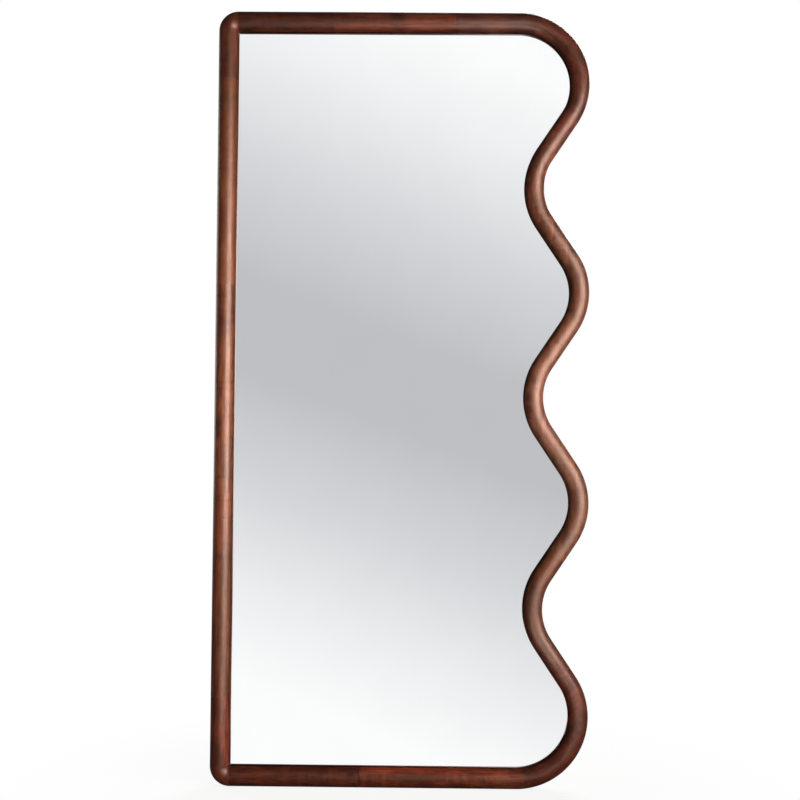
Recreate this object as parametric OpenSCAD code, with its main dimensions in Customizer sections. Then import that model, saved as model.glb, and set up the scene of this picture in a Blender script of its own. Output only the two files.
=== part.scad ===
// Full-length floor mirror in a solid walnut frame: three straight sides and one wavy side.
// The pieces are drawn lying on their back: x runs across the mirror from the outer edge of the
// straight stile, y runs up from the underside of the bottom rail, and z rises from the plane of
// the frame's back towards its front. stand() then raises the mirror upright, front towards -Y.

/* [Whole mirror] */
// Height over all, foot pads included
mirror_h = 1700; // [1500:10:2200]
// Width over all, from the straight stile to the crests of the wave
mirror_w = 820; // [720:10:1100]

/* [Timber bar] */
// Width of the bar, seen from the front
bar_w = 42; // [38:1:56]
// Depth of the bar from its back to the top of its round nose
bar_d = 40; // [36:1:60]
// Radius of the two inner corners beside the straight stile
inner_corner_r = 1.5; // [1:0.5:20]
// Chamfer along the outer edge of the back
back_chamfer = 2; // [0.5:0.5:3]

/* [Wave] */
// Sideways travel of the bar from crest to trough
wave_depth = 100; // [80:1:125]
// Lean of the straight runs between crest and trough, in degrees from upright
wave_slope = 33.8; // [30:0.1:40]
// Radius of the bar's centreline round the two corners at the wavy side
end_lobe_r = 135; // [100:1:150]
// Part of the upper wavy corner that belongs to the top rail, in degrees
top_rail_turn = 17; // [5:1:40]
// Part of the lower wavy corner that belongs to the bottom rail, in degrees
bottom_rail_turn = 7; // [5:1:40]

/* [Timber blocks] */
// Height of the stile's top block, rounded corner included
stile_top_l = 151; // [80:1:250]
// Length of the stile's middle block
stile_middle_l = 458; // [300:1:480]
// Length of the stile's lower block
stile_lower_l = 441; // [300:1:480]
// Height of the stile's bottom block, rounded corner included
stile_bottom_l = 193; // [80:1:250]
// Length of the top rail's block beside the stile
top_left_l = 212; // [100:1:260]
// Length of the top rail's middle block
top_middle_l = 267; // [100:1:300]
// Length of the bottom rail's block beside the stile
bottom_left_l = 282; // [120:1:400]

/* [Butt joints] */
// Thickness of the glue line between two blocks
glue_line = 0.1; // [0.05:0.05:0.3]
// Diameter of the dowels
dowel_d = 8; // [6:1:9]
// Length of a dowel
dowel_l = 40; // [24:2:50]
// Spacing of the two dowels in a joint
dowel_pitch = 16; // [14:1:18]
// How far the dowels lie in front of the nose's centre, clear of the screws' tips
dowel_rise = 2; // [1:0.5:5]
// Gap round dowels and screws in their bores, and at their ends
bore_gap = 0.1; // [0.05:0.05:0.2]

/* [Glass and back] */
// Thickness of the silvered glass
glass_t = 4; // [3:1:5]
// How far the frame's lip covers the edge of the glass
glass_bite = 5; // [4:0.5:8]
// Gap between the edge of the glass and its rebate
glass_gap = 2; // [1:0.5:3]
// Thickness of the foam sheet behind the glass
foam_t = 1; // [0.5:0.5:2]
// Thickness of the back panel
panel_t = 5; // [3:0.5:6]
// How far the panel's face lies under the back of the frame
panel_recess = 1; // [0.5:0.5:2]
// Gap between the edge of the panel and its rebate
panel_gap = 1; // [0.5:0.5:2]
// Width of the ledge that the panel is screwed to
ledge_w = 14; // [12:1:16]
// Length of a setting block under the glass
setting_block_l = 40; // [20:5:80]

/* [Panel screws] */
// Shank diameter of the countersunk screws
screw_d = 3.5; // [3:0.5:4]
// Head diameter of the countersunk screws
screw_head_d = 7; // [6:0.5:8]
// Length of the countersunk screws
screw_l = 14; // [10:1:15]
// Clearance round a screw in the panel and the straps
screw_clearance = 0.25; // [0.1:0.05:0.5]
// Usual spacing of the panel screws along the straight sides
screw_pitch = 220; // [140:10:300]

/* [Hangers] */
// Width of a hanger strap
strap_w = 14; // [12:1:16]
// Thickness of a hanger strap
strap_t = 1.2; // [1:0.1:1.5]
// Length of a strap from the ring's hinge to its round end
strap_l = 50; // [44:1:60]
// Distance of a strap's first screw from the ring's hinge
strap_screw_start = 27; // [25:1:32]
// Spacing of the two screws in a strap
strap_screw_pitch = 14; // [9:1:16]
// Length of the strap screws' shanks
strap_screw_l = 14; // [10:1:15]
// Height of the strap screws' heads
strap_head_h = 2.2; // [1.5:0.1:3]
// Diameter of the ring's wire
ring_d = 3; // [2:0.5:3.5]
// Length of the ring's straight legs
ring_leg = 6; // [4:0.5:8]
// Gap between a strap's edge and the ring's legs
ring_side_gap = 1.5; // [0.5:0.5:3]
// Running clearance of the ring in its eye
ring_clearance = 0.1; // [0.05:0.01:0.2]
// Gap between the hanging ring and the strap behind it
ring_rest_gap = 0.3; // [0.2:0.1:0.6]

/* [Bumpers and feet] */
// Diameter of the wall bumpers
bumper_d = 16; // [12:1:17]
// Diameter of a bumper where it meets the wall
bumper_tip_d = 13; // [8:0.5:16]
// How far the bumpers stand out behind the frame
bumper_h = 8; // [7:0.5:15]
// Distance of the bumpers from the stile's top and bottom and from the wavy corners
bumper_end_gap = 45; // [30:1:100]
// Length of a foot pad
foot_l = 60; // [40:5:120]
// Width of a foot pad
foot_w = 14; // [10:1:14]
// Depth of the pocket that holds a foot pad
foot_inset = 2; // [1:0.5:3]
// How far a foot pad stands out of the bottom rail
foot_proud = 1; // [0.5:0.5:3]
// Distance of the foot pads from the ends of the bottom rail's straight part
foot_end_gap = 30; // [10:5:120]

/* [Hidden] */
$fn = 96;
walnut = "#6b3f2b";
beech = "#c9a877";
steel = "#b9bcbe";
rubber = "#1c1c1d";
cut = 1; // how far a cutting solid runs past the face that it opens
bend_overrun = 2; // degrees that a bend passes the middle of its lobe before it is cut there

// The bar's section: u runs outwards across the bar from its centreline
half_w = bar_w / 2;
nose_z = bar_d - half_w;
ledge_z = panel_recess + panel_t;
glass_z = ledge_z + foam_t;
lip_z = glass_z + glass_t;
glass_edge_u = glass_bite - half_w;
glass_wall_u = glass_edge_u + glass_gap;
panel_wall_u = glass_wall_u + ledge_w;
panel_edge_u = panel_wall_u - panel_gap;
screw_u = glass_wall_u + ledge_w / 2;
land_u = (panel_wall_u + half_w - back_chamfer) / 2;

// Centrelines of the straight sides
frame_h = mirror_h - foot_proud;
stile_x = half_w;
top_y = frame_h - half_w;
bottom_y = half_w;
crest_x = mirror_w - half_w;
trough_x = crest_x - wave_depth;
corner_r = half_w + inner_corner_r;
rail_start_x = stile_x + corner_r;
rail_end_x = crest_x - end_lobe_r;

// The wave: lobe 1 is the upper corner, even lobes are troughs, the last is the lower corner.
// All straight runs lean alike, so the inner lobes share the radius that fills the height.
lobes = 7;
inner_lobes = lobes - 2;
wave_run = top_y - bottom_y - 2 * end_lobe_r;
slant_rise = (lobes - 1) * wave_depth / tan(wave_slope);
inner_lobe_r = ((wave_run - slant_rise) / tan(wave_slope / 2) - 2 * end_lobe_r) / (2 * inner_lobes);

function is_trough(k) = k % 2 == 0;
function lobe_r(k) = k == 1 || k == lobes ? end_lobe_r : inner_lobe_r;
function rise(k) = wave_depth / tan(wave_slope) + (lobe_r(k) + lobe_r(k + 1)) * tan(wave_slope / 2);
function run_l(k) = (wave_depth - (lobe_r(k) + lobe_r(k + 1)) * (1 - cos(wave_slope))) / sin(wave_slope);
function lobe_x(k) = is_trough(k) ? trough_x + lobe_r(k) : crest_x - lobe_r(k);
function lobe_y(k) = k == 1 ? top_y - end_lobe_r : lobe_y(k - 1) - rise(k - 1);
// Radius at which a line at u runs round lobe k
function lobe_r_at(k, u) = is_trough(k) ? lobe_r(k) - u : lobe_r(k) + u;
function on_circle(x, y, r, heading) = [x + r * cos(heading), y + r * sin(heading)];
// Point at u on lobe k, turned by a signed angle from its middle, positive towards its upper end
function lobe_point(k, u, turn) = on_circle(lobe_x(k), lobe_y(k), lobe_r_at(k, u),
    is_trough(k) ? 180 - turn : turn);

// Joints between blocks as [x, y, outward heading]
stile_joint_y = [stile_bottom_l, stile_bottom_l + stile_lower_l,
    stile_bottom_l + stile_lower_l + stile_middle_l, frame_h - stile_top_l];
stile_joints = [for (y = stile_joint_y) [stile_x, y, 180]];
top_joint_x = [rail_start_x, rail_start_x + top_left_l, rail_start_x + top_left_l + top_middle_l];
bottom_joint_x = [rail_start_x, rail_start_x + bottom_left_l];
rail_joints = concat([for (x = top_joint_x) [x, top_y, 90]], [for (x = bottom_joint_x) [x, bottom_y, -90]]);
function turn_joint(k, heading) = concat(on_circle(lobe_x(k), lobe_y(k), end_lobe_r, heading), [heading]);
function run_joint(k) = concat((lobe_point(k, 0, -wave_slope) + lobe_point(k + 1, 0, wave_slope)) / 2,
    [is_trough(k) ? wave_slope : -wave_slope]);
wave_joints = concat([turn_joint(1, 90 - top_rail_turn)], [for (k = [1 : lobes - 1]) run_joint(k)],
    [turn_joint(lobes, bottom_rail_turn - 90)]);

// Panel screws: one in the middle of each lobe, and along the straight sides each block takes its
// own in equal shares of its length, so that none meets a joint's dowels
function middles(from, to) = let (count = max(1, round((to - from) / screw_pitch)))
    [for (i = [1 : count]) from + (i - 0.5) * (to - from) / count];
function between(stops) = [for (i = [1 : len(stops) - 1]) each middles(stops[i - 1], stops[i])];
panel_screw_points = concat(
    [for (y = between(concat([bottom_y], stile_joint_y, [top_y]))) [stile_x - screw_u, y]],
    [for (x = between(concat(top_joint_x, [rail_end_x]))) [x, top_y + screw_u]],
    [for (x = between(concat(bottom_joint_x, [rail_end_x]))) [x, bottom_y - screw_u]],
    [for (k = [1 : lobes]) lobe_point(k, screw_u, 0)]);

// Hangers, bumpers and feet
hanger_y = lobe_y(1) + strap_l / 2;
left_hanger_x = stile_x - land_u;
right_hanger_x = crest_x + land_u;
strap_screw_points = [for (x = [left_hanger_x, right_hanger_x], i = [0, 1])
    [x, hanger_y - strap_screw_start - i * strap_screw_pitch]];
eye_z = strap_t + ring_rest_gap + ring_d / 2;
eye_bore_d = ring_d + 2 * ring_clearance;
eye_d = eye_bore_d + 2 * strap_t;
ring_r = strap_w / 2 + ring_side_gap + ring_d / 2;
head_top_d = screw_head_d - strap_head_h;
bumper_points = [[left_hanger_x, bumper_end_gap], [left_hanger_x, frame_h - bumper_end_gap],
    [rail_end_x - bumper_end_gap, bottom_y - land_u], [rail_end_x - bumper_end_gap, top_y + land_u]];
foot_z = (back_chamfer + nose_z) / 2;
foot_inset_x = foot_end_gap + foot_l / 2;
support_x = [rail_start_x + foot_inset_x, rail_end_x - foot_inset_x];
recess_w = screw_d / 4;
recess_l = screw_d;
recess_h = screw_d / 2;

module stand() {
    translate([-mirror_w / 2, (bar_d - bumper_h) / 2, foot_proud]) rotate([90, 0, 0]) children();
}

module at(joint) {
    translate([joint[0], joint[1], 0]) rotate([0, 0, joint[2]]) children();
}

// Section of the bar: a half-round nose over straight sides, with the two rebates at its back
module section() {
    intersection() {
        translate([0, nose_z]) circle(half_w);
        translate([-half_w, lip_z]) square([bar_w, bar_d - lip_z]);
    }
    polygon([[-half_w, nose_z], [-half_w, lip_z], [glass_wall_u, lip_z], [glass_wall_u, ledge_z],
        [panel_wall_u, ledge_z], [panel_wall_u, 0], [half_w - back_chamfer, 0], [half_w, back_chamfer],
        [half_w, nose_z]]);
}

// Straight bar that starts at y = 0 and runs towards -y, its outer side towards +x
module straight_bar(length) {
    rotate([90, 0, 0]) linear_extrude(length) section();
}

// Bar bent round the origin from a heading through a signed turn, its outer side outwards
module bent_bar(r, heading, turn) {
    rotate([0, 0, heading]) rotate_extrude(angle = turn) translate([r, 0]) section();
}

// Two dowels, or their bores, across each joint
module dowels(joints, gap) {
    for (joint = joints, u = [-dowel_pitch / 2, dowel_pitch / 2])
        at(joint) translate([u, 0, nose_z + dowel_rise]) rotate([90, 0, 0])
            cylinder(h = dowel_l + 2 * gap, d = dowel_d + 2 * gap, center = true);
}

module glue_lines(joints) {
    for (joint = joints)
        at(joint) translate([-half_w - cut, -glue_line / 2, -cut])
            cube([bar_w + 2 * cut, glue_line, bar_d + 2 * cut]);
}

module panel_screw_bores() {
    for (p = panel_screw_points)
        translate([p[0], p[1], panel_recess])
            cylinder(h = screw_l + bore_gap, d = screw_d + 2 * bore_gap);
}

module strap_screw_bores() {
    for (p = strap_screw_points)
        translate([p[0], p[1], -strap_t])
            cylinder(h = strap_screw_l + bore_gap, d = screw_d + 2 * bore_gap);
}

module foot_pockets() {
    for (x = support_x)
        translate([x - foot_l / 2, -cut, foot_z - foot_w / 2]) cube([foot_l, cut + foot_inset, foot_w]);
}

// A finished block: the cuts for its joints, screws and foot pads are made here
module block(joints) {
    color(walnut) stand() difference() {
        union() children();
        glue_lines(joints);
        dowels(joints, bore_gap);
        panel_screw_bores();
        strap_screw_bores();
        foot_pockets();
    }
}

module stile_length(from, to) {
    translate([stile_x, from, 0]) rotate([0, 0, 180]) straight_bar(to - from);
}

module stile_top_block() {
    block([stile_joints[3], rail_joints[0]]) {
        stile_length(stile_joint_y[3], top_y - corner_r);
        translate([rail_start_x, top_y - corner_r, 0]) bent_bar(corner_r, 180, -90);
    }
}

module stile_upper_block() {
    block([stile_joints[2], stile_joints[3]]) stile_length(stile_joint_y[2], stile_joint_y[3]);
}

module stile_middle_block() {
    block([stile_joints[1], stile_joints[2]]) stile_length(stile_joint_y[1], stile_joint_y[2]);
}

module stile_lower_block() {
    block([stile_joints[0], stile_joints[1]]) stile_length(stile_joint_y[0], stile_joint_y[1]);
}

module stile_bottom_block() {
    block([stile_joints[0], rail_joints[3]]) {
        stile_length(bottom_y + corner_r, stile_joint_y[0]);
        translate([rail_start_x, bottom_y + corner_r, 0]) bent_bar(corner_r, 180, 90);
    }
}

module top_rail_length(from, to) {
    translate([from, top_y, 0]) rotate([0, 0, 90]) straight_bar(to - from);
}

module top_rail_left() {
    block([rail_joints[0], rail_joints[1]]) top_rail_length(top_joint_x[0], top_joint_x[1]);
}

module top_rail_middle() {
    block([rail_joints[1], rail_joints[2]]) top_rail_length(top_joint_x[1], top_joint_x[2]);
}

module top_rail_right() {
    block([rail_joints[2], wave_joints[0]]) {
        top_rail_length(top_joint_x[2], rail_end_x);
        translate([rail_end_x, lobe_y(1), 0]) bent_bar(end_lobe_r, 90, -top_rail_turn);
    }
}

module bottom_rail_length(from, to) {
    translate([to, bottom_y, 0]) rotate([0, 0, -90]) straight_bar(to - from);
}

module bottom_rail_left() {
    block([rail_joints[3], rail_joints[4]]) bottom_rail_length(bottom_joint_x[0], bottom_joint_x[1]);
}

module bottom_rail_right() {
    block([rail_joints[4], wave_joints[lobes]]) {
        bottom_rail_length(bottom_joint_x[1], rail_end_x);
        translate([rail_end_x, lobe_y(lobes), 0]) bent_bar(end_lobe_r, -90, bottom_rail_turn);
    }
}

// Section of lobe k, as far from the lobe's centre as its bar. A trough's outer side faces inwards.
module lobe_section(k) {
    translate([lobe_r(k), 0]) mirror([is_trough(k) ? 1 : 0, 0]) section();
}

// Upper half of lobe k round the origin. From the wave's slope it bends back past its middle, at
// y = 0, where a flat cut ends it, and goes on the other way as a straight run or a further turn.
module half_lobe(k, run, turn) {
    difference() {
        rotate([0, 0, wave_slope]) {
            rotate_extrude(angle = -wave_slope - bend_overrun) lobe_section(k);
            if (run > 0) mirror([0, 1, 0]) rotate([90, 0, 0]) linear_extrude(run) lobe_section(k);
            if (turn > 0) rotate_extrude(angle = turn) lobe_section(k);
        }
        translate([lobe_r(k) - half_w - cut, -bar_w, -cut])
            cube([bar_w + 2 * cut, bar_w, bar_d + 2 * cut]);
    }
}

// Block k of the wave: both halves of its lobe
module wave_block(k) {
    block([wave_joints[k - 1], wave_joints[k]]) translate([lobe_x(k), lobe_y(k), 0])
        mirror([is_trough(k) ? 1 : 0, 0, 0]) {
            if (k == 1) half_lobe(k, 0, 90 - top_rail_turn - wave_slope);
            else half_lobe(k, run_l(k - 1) / 2, 0);
            if (k == lobes) mirror([0, 1, 0]) half_lobe(k, 0, 90 - bottom_rail_turn - wave_slope);
            else mirror([0, 1, 0]) half_lobe(k, run_l(k) / 2, 0);
        }
}

module stile_dowels() {
    color(beech) stand() dowels(stile_joints, 0);
}

module rail_dowels() {
    color(beech) stand() dowels(rail_joints, 0);
}

module wave_dowels() {
    color(beech) stand() dowels(wave_joints, 0);
}

// Flat shape inside the frame, with its edge at u all the way round
module sheet_outline(u) {
    left = stile_x - u;
    bottom = bottom_y - u;
    top = top_y + u;
    square_corner_r = corner_r + u;
    lobe_points = [for (k = [lobes : -1 : 1], side = [-1, 1])
        k == lobes && side < 0 ? [rail_end_x, bottom] :
        k == 1 && side > 0 ? [rail_end_x, top] :
        lobe_point(k, u, side * wave_slope)];
    difference() {
        union() {
            polygon(concat(lobe_points, [[rail_start_x, top], [left, top_y - corner_r],
                [left, bottom_y + corner_r], [rail_start_x, bottom]]));
            for (y = [bottom_y + corner_r, top_y - corner_r])
                translate([rail_start_x, y]) circle(square_corner_r);
            for (k = [1 : 2 : lobes])
                translate([lobe_x(k), lobe_y(k)]) circle(lobe_r_at(k, u));
        }
        for (k = [2 : 2 : lobes])
            translate([lobe_x(k), lobe_y(k)]) circle(lobe_r_at(k, u));
    }
}

module mirror_glass() {
    color("#c3c8cc") stand() translate([0, 0, glass_z]) linear_extrude(glass_t) sheet_outline(glass_edge_u);
}

// Plastic blocks that carry the glass, above the foot pads
module setting_blocks() {
    color("#2b2d2f") stand() for (x = support_x)
        translate([x - setting_block_l / 2, bottom_y - glass_wall_u, glass_z])
            cube([setting_block_l, glass_gap, glass_t]);
}

module foam_sheet() {
    color("#4a4c4e") stand() translate([0, 0, ledge_z]) linear_extrude(foam_t) sheet_outline(glass_edge_u);
}

// Cross recess in a screw head whose top lies at z = 0
module cross_recess() {
    for (turn = [0, 90])
        rotate([0, 0, turn]) translate([-recess_l / 2, -recess_w / 2, -cut])
            cube([recess_l, recess_w, recess_h + cut]);
}

module countersink() {
    cylinder(h = screw_head_d / 2, d1 = screw_head_d, d2 = 0);
}

module back_panel() {
    color("#a8845c") stand() difference() {
        translate([0, 0, panel_recess]) linear_extrude(panel_t) sheet_outline(panel_edge_u);
        for (p = panel_screw_points)
            translate([p[0], p[1], panel_recess]) {
                cylinder(h = panel_t + cut, d = screw_d + 2 * screw_clearance);
                countersink();
            }
    }
}

module panel_screws() {
    color(steel) stand() for (p = panel_screw_points)
        translate([p[0], p[1], panel_recess]) difference() {
            union() {
                cylinder(h = screw_l, d = screw_d);
                countersink();
            }
            cross_recess();
        }
}

// Flat strap against the frame's back, its upper end rolled into an eye for the ring
module hanger_strap(x) {
    color(steel) stand() difference() {
        union() {
            translate([x - strap_w / 2, hanger_y + strap_w / 2 - strap_l, -strap_t])
                cube([strap_w, strap_l - strap_w / 2, strap_t]);
            translate([x, hanger_y + strap_w / 2 - strap_l, -strap_t]) cylinder(h = strap_t, d = strap_w);
            hinge_cylinder(x, strap_w, eye_d);
        }
        hinge_cylinder(x, strap_w + 2 * cut, eye_bore_d);
        for (p = strap_screw_points)
            translate([p[0], p[1], -strap_t - cut])
                cylinder(h = strap_t + 2 * cut, d = screw_d + 2 * screw_clearance);
    }
}

// Round bar along the axis on which the ring at x swings
module hinge_cylinder(x, length, d) {
    translate([x, hanger_y, -eye_z]) rotate([0, 90, 0]) cylinder(h = length, d = d, center = true);
}

// Ring of bent wire, hanging from its straight pin over the strap
module hanger_ring(x) {
    color(steel) stand() {
        hinge_cylinder(x, 2 * ring_r + ring_d, ring_d);
        translate([x, hanger_y, -eye_z]) for (side = [-1, 1])
            translate([side * ring_r, 0, 0]) rotate([90, 0, 0]) cylinder(h = ring_leg, d = ring_d);
        translate([x, hanger_y - ring_leg, -eye_z]) rotate([0, 0, 180]) rotate_extrude(angle = 180)
            translate([ring_r, 0]) circle(d = ring_d);
    }
}

module hanger_screws() {
    color(steel) stand() for (p = strap_screw_points)
        translate([p[0], p[1], -strap_t - strap_head_h]) difference() {
            union() {
                cylinder(h = strap_head_h, d1 = head_top_d, d2 = screw_head_d);
                cylinder(h = strap_head_h + strap_screw_l, d = screw_d);
            }
            cross_recess();
        }
}

module wall_bumpers() {
    color(rubber) stand() for (p = bumper_points)
        translate([p[0], p[1], -bumper_h]) cylinder(h = bumper_h, d1 = bumper_tip_d, d2 = bumper_d);
}

module foot_pads() {
    color(rubber) stand() for (x = support_x)
        translate([x - foot_l / 2, -foot_proud, foot_z - foot_w / 2])
            cube([foot_l, foot_proud + foot_inset, foot_w]);
}

stile_top_block();
stile_upper_block();
stile_middle_block();
stile_lower_block();
stile_bottom_block();
top_rail_left();
top_rail_middle();
top_rail_right();
bottom_rail_left();
bottom_rail_right();
wave_block(1);  // wave_block_1
wave_block(2);  // wave_block_2
wave_block(3);  // wave_block_3
wave_block(4);  // wave_block_4
wave_block(5);  // wave_block_5
wave_block(6);  // wave_block_6
wave_block(7);  // wave_block_7
stile_dowels();
rail_dowels();
wave_dowels();
mirror_glass();
setting_blocks();
foam_sheet();
back_panel();
panel_screws();
hanger_strap(left_hanger_x);  // hanger_strap_left
hanger_strap(right_hanger_x);  // hanger_strap_right
hanger_ring(left_hanger_x);  // hanger_ring_left
hanger_ring(right_hanger_x);  // hanger_ring_right
hanger_screws();
wall_bumpers();
foot_pads();
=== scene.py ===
from math import ceil, cos, pi, radians, sin, tan

import bmesh
import bpy
from mathutils import Matrix, Vector


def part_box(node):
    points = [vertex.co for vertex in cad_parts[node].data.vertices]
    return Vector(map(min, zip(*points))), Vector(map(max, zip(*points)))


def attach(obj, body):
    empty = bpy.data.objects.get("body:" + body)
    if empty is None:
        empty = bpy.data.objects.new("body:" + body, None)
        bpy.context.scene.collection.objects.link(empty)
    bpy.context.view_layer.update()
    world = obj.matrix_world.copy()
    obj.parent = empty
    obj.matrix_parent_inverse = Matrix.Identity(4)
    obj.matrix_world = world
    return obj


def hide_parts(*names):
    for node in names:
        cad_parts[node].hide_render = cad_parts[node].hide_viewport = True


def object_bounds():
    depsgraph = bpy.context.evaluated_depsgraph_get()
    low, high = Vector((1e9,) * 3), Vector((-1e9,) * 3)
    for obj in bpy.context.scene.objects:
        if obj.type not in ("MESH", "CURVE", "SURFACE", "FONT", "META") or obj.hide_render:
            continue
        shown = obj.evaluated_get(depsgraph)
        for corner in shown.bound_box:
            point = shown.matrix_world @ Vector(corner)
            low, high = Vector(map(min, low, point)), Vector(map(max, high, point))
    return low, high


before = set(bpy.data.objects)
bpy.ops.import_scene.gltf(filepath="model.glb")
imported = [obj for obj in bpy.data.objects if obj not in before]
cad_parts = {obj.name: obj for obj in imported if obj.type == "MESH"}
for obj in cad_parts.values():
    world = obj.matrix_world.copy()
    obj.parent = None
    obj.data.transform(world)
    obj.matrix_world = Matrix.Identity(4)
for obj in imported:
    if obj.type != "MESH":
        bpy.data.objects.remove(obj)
cad_low, cad_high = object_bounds()

# Profile of the walnut bar that every block of the frame is cut to: a half-round nose at the front,
# straight sides, a rebate for the glass, a second one for the back panel, and a chamfer at the
# back. The real bar is moulded on its straight lengths and routed along the wave.
rail_low, rail_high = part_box("top_rail_middle")
bar_w = rail_high.z - rail_low.z
half_w = bar_w / 2
bar_back = rail_high.y
nose_y = rail_low.y + half_w
lip_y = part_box("mirror_glass")[0].y
ledge_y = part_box("back_panel")[0].y
glass_bite = 0.005
glass_gap = 0.002
glass_wall = half_w - glass_bite - glass_gap
panel_wall = 0.0  # the panel's rebate reaches the bar's centreline
back_chamfer = 0.002
arris = 0.0004
nose_steps = 36


def begin(name, primitive, mode="VERT", scale=(1, 1, 1), **settings):
    """Adds a primitive, bakes in its place and size, and opens it with everything selected."""
    bpy.ops.object.select_all(action="DESELECT")
    primitive(**settings)
    piece = bpy.context.object
    piece.name = name
    piece.scale = scale
    bpy.ops.object.transform_apply()
    bpy.ops.object.mode_set(mode="EDIT")
    bpy.ops.mesh.select_mode(type=mode)
    bpy.ops.mesh.select_all(action="SELECT")
    return piece


def close(weld=0):
    """Welds doubled points nearer than weld, turns every face outwards and leaves edit mode."""
    bpy.ops.mesh.select_all(action="SELECT")
    if weld:
        bpy.ops.mesh.remove_doubles(threshold=weld)
    bpy.ops.mesh.normals_make_consistent(inside=False)
    bpy.ops.object.mode_set(mode="OBJECT")


def select(piece, kind, chosen):
    """In edit mode, selects those vertices, edges or faces of a piece that chosen() says yes to."""
    bpy.ops.mesh.select_mode(type={"verts": "VERT", "edges": "EDGE", "faces": "FACE"}[kind])
    bpy.ops.mesh.select_all(action="DESELECT")
    shape = bmesh.from_edit_mesh(piece.data)
    for element in getattr(shape, kind):
        if chosen(element):
            element.select_set(True)
    bmesh.update_edit_mesh(piece.data)


def is_at(x, y):
    return lambda vertex: (vertex.co.xy - Vector((x, y))).length < 1e-5


def extrude_corners(start, corners):
    """Draws the outline on from the selected end at start, through each corner in turn."""
    for corner in corners:
        step = Vector(corner) - Vector(start)
        bpy.ops.mesh.extrude_vertices_move(TRANSFORM_OT_translate={"value": (*step, 0)})
        start = corner


# Drawn flat, outer side towards +X and front towards -Y
bar_section = begin("bar_section", bpy.ops.mesh.primitive_circle_add, vertices=2 * nose_steps,
                    radius=half_w, location=(0, nose_y, 0))
bpy.ops.mesh.bisect(plane_co=(0, nose_y, 0), plane_no=(0, 1, 0), clear_outer=True)
select(bar_section, "verts", is_at(half_w, nose_y))
rebate_corners = [(panel_wall, bar_back), (panel_wall, ledge_y), (-glass_wall, ledge_y),
                  (-glass_wall, lip_y), (-half_w, lip_y)]
chamfer_corners = [(half_w, bar_back - back_chamfer), (half_w - back_chamfer, bar_back)]
extrude_corners((half_w, nose_y), chamfer_corners + rebate_corners)
bpy.ops.mesh.select_all(action="SELECT")
bpy.ops.mesh.edge_face_add()
bpy.ops.mesh.select_all(action="DESELECT")
select(bar_section, "verts", lambda v: any(is_at(*corner)(v) for corner in rebate_corners))
bpy.ops.mesh.bevel(affect="VERTICES", offset=arris, segments=2)
bpy.ops.object.mode_set(mode="OBJECT")

# The seventeen walnut blocks of the frame: the stile's five, the top rail's three, one to each
# lobe of the wave, and the bottom rail's two. They are butted end to end on dowels and glued, and
# the whole frame is then rounded over, sanded and lacquered.
wave_slope = radians(33.8)
wave_depth = 0.100
end_lobe_r = 0.135
lobes = 7
glue_line = 0.0001
bend_step = radians(2)
stile_x = -(cad_high.x - half_w)
top_z = rail_low.z + half_w
bottom_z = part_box("bottom_rail_left")[0].z + half_w
corner_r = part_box("top_rail_left")[0].x - glue_line / 2 - stile_x
straight_end_x = cad_high.x - half_w - end_lobe_r
slant_rise = (lobes - 1) * wave_depth / tan(wave_slope)
spare_rise = top_z - bottom_z - 2 * end_lobe_r - slant_rise
inner_lobe_r = (spare_rise / tan(wave_slope / 2) - 2 * end_lobe_r) / (2 * (lobes - 2))
top_rail_turn = radians(17)
bottom_rail_turn = radians(7)


def lobe_r(k):
    return end_lobe_r if k in (1, lobes) else inner_lobe_r


def slant(k):
    """The straight run between lobes k and k + 1, half of it in each one's block."""
    sideways = wave_depth - (lobe_r(k) + lobe_r(k + 1)) * (1 - cos(wave_slope))
    return ("run", sideways / sin(wave_slope))


def half(move):
    return (move[0], move[1] / 2)


def towards(heading):
    return Vector((cos(heading), 0, sin(heading)))


def follow(joint, heading, moves, extrude):
    """Draws the selection on from a joint, travelling along heading, the outer side on the left. A
    move is ("run", length) or ("turn", radius, angle to the right), both on the bar's centreline.
    Returns the next joint and heading."""
    for move in moves:
        if move[0] == "run":
            step = towards(heading) * move[1]
            extrude(TRANSFORM_OT_translate={"value": step})
            joint = joint + step
            continue
        radius, turn = move[1:]
        outwards = Vector((-sin(heading), 0, cos(heading)))
        centre = joint - outwards * radius * (1 if turn > 0 else -1)
        bpy.ops.mesh.spin(steps=ceil(abs(turn) / bend_step), angle=-turn, center=centre, axis=(0, 1, 0))
        joint = centre + Matrix.Rotation(turn, 3, "Y") @ (joint - centre)
        heading -= turn
    return joint, heading


def walnut_block(name, joint, heading, moves):
    """Sweeps the bar along the moves, half a glue line short at each end. Returns the block too."""
    block = bpy.data.objects.new(name, bar_section.data.copy())
    bpy.context.collection.objects.link(block)
    block.data.transform(Matrix.Translation(joint + towards(heading) * glue_line / 2)
                         @ Matrix.Rotation(-heading - pi / 2, 4, "Y"))
    bpy.ops.object.select_all(action="DESELECT")
    bpy.context.view_layer.objects.active = block
    block.select_set(True)
    bpy.ops.object.mode_set(mode="EDIT")
    bpy.ops.mesh.select_mode(type="FACE")
    bpy.ops.mesh.select_all(action="SELECT")
    joint, heading = follow(joint, heading, moves, bpy.ops.mesh.extrude_region_move)
    bpy.ops.transform.translate(value=-towards(heading) * glue_line)
    close(weld=1e-6)
    bpy.ops.object.shade_smooth_by_angle(angle=radians(30))
    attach(block, "mirror")
    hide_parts(name)
    return block, joint, heading


def lobe_turn(k):
    """The bend of an inner lobe: even lobes are troughs and turn to the left."""
    return ("turn", inner_lobe_r, 2 * wave_slope * (-1 if k % 2 == 0 else 1))


def straight(name, axis):
    low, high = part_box(name)
    return ("run", high[axis] - low[axis] + glue_line)


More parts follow.
